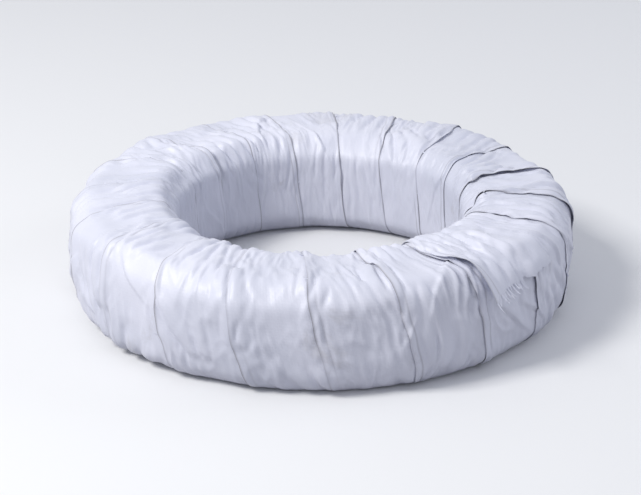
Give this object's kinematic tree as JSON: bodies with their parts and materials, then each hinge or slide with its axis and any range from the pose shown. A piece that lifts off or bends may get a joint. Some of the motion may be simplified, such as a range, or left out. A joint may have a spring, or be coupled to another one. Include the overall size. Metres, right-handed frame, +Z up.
{
  "type": "wrapped coil of galvanized iron wire",
  "caption": "Ring-shaped coil of galvanized wire, held by binding wires and wrapped all over in a helically lapped woven strip; lies flat, with an open bore.",
  "frame": {"origin": "on the floor plane, at the axis of the bore", "axes": "+Z up along the bore axis; a lap edge of the wrap crosses the outer face at +X"},
  "size_m": [0.5214, 0.5214, 0.1135],
  "materials": {
    "galvanized_wire": "hot-dip galvanized iron wire, dull zinc grey with a faint spangle",
    "tie_wire": "soft annealed iron binding wire, dark grey and satin",
    "woven_cloth": "woven polypropylene tape cloth, cool white, slightly glossy, creased, with a few smudges"
  },
  "bodies": {
    "root": {"wire_coil": "galvanized_wire", "tie_wire_1": "tie_wire", "tie_wire_2": "tie_wire", "tie_wire_3": "tie_wire", "tie_wire_4": "tie_wire", "woven_wrap": "woven_cloth"}
  },
  "joints": []
}
